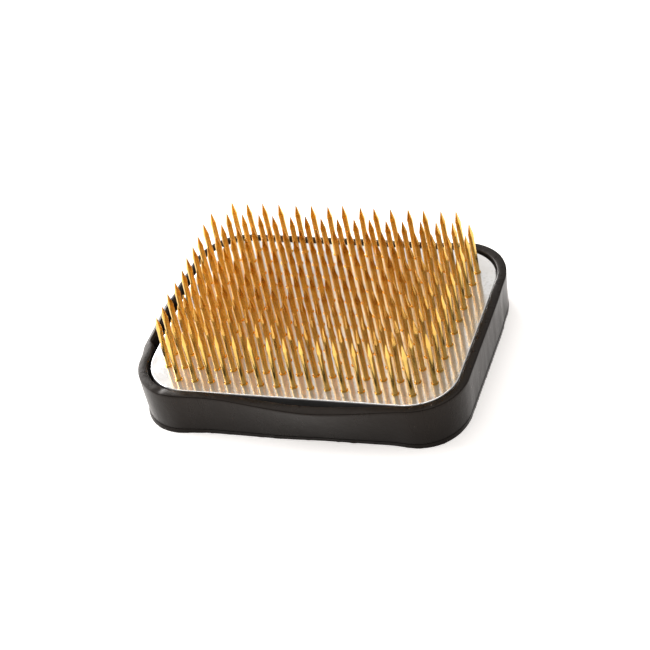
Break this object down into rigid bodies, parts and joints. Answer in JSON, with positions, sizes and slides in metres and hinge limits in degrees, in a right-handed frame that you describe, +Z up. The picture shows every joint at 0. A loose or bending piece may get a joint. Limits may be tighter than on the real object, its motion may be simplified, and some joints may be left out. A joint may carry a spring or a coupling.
{
  "type": "flower frog",
  "caption": "Rectangular pin holder for flower arranging: upright brass pins in a lead-alloy plate with rounded corners, lying in a black rubber ring.",
  "frame": {"origin": "on the table, under the middle of the rubber ring", "axes": "+X along the long side, +Z up along the pins, -Y towards the front"},
  "size_m": [0.079, 0.063, 0.0249],
  "materials": {
    "black_rubber": "satin",
    "lead_alloy": "satin",
    "brass_pins": "satin"
  },
  "bodies": {
    "ring": {"rubber_ring": "black_rubber"},
    "pin_plate": {"base_plate": "lead_alloy", "pins_row_01_left": "brass_pins", "pins_row_01_right": "brass_pins", "pins_row_02_left": "brass_pins", "pins_row_02_right": "brass_pins", "pins_row_03_left": "brass_pins", "pins_row_03_right": "brass_pins", "pins_row_04_left": "brass_pins", "pins_row_04_right": "brass_pins", "pins_row_05_left": "brass_pins", "pins_row_05_right": "brass_pins", "pins_row_06_left": "brass_pins", "pins_row_06_right": "brass_pins", "pins_row_07_left": "brass_pins", "pins_row_07_right": "brass_pins", "pins_row_08_left": "brass_pins", "pins_row_08_right": "brass_pins", "pins_row_09_left": "brass_pins", "pins_row_09_right": "brass_pins", "pins_row_10_left": "brass_pins", "pins_row_10_right": "brass_pins", "pins_row_11_left": "brass_pins", "pins_row_11_right": "brass_pins", "pins_row_12_left": "brass_pins", "pins_row_12_right": "brass_pins"}
  },
  "joints": [
    {"name": "plate_lift_out", "type": "slide", "parent": "ring", "child": "pin_plate", "axis": [0, 0, 1], "range_m": [0, 0.03]}
  ]
}
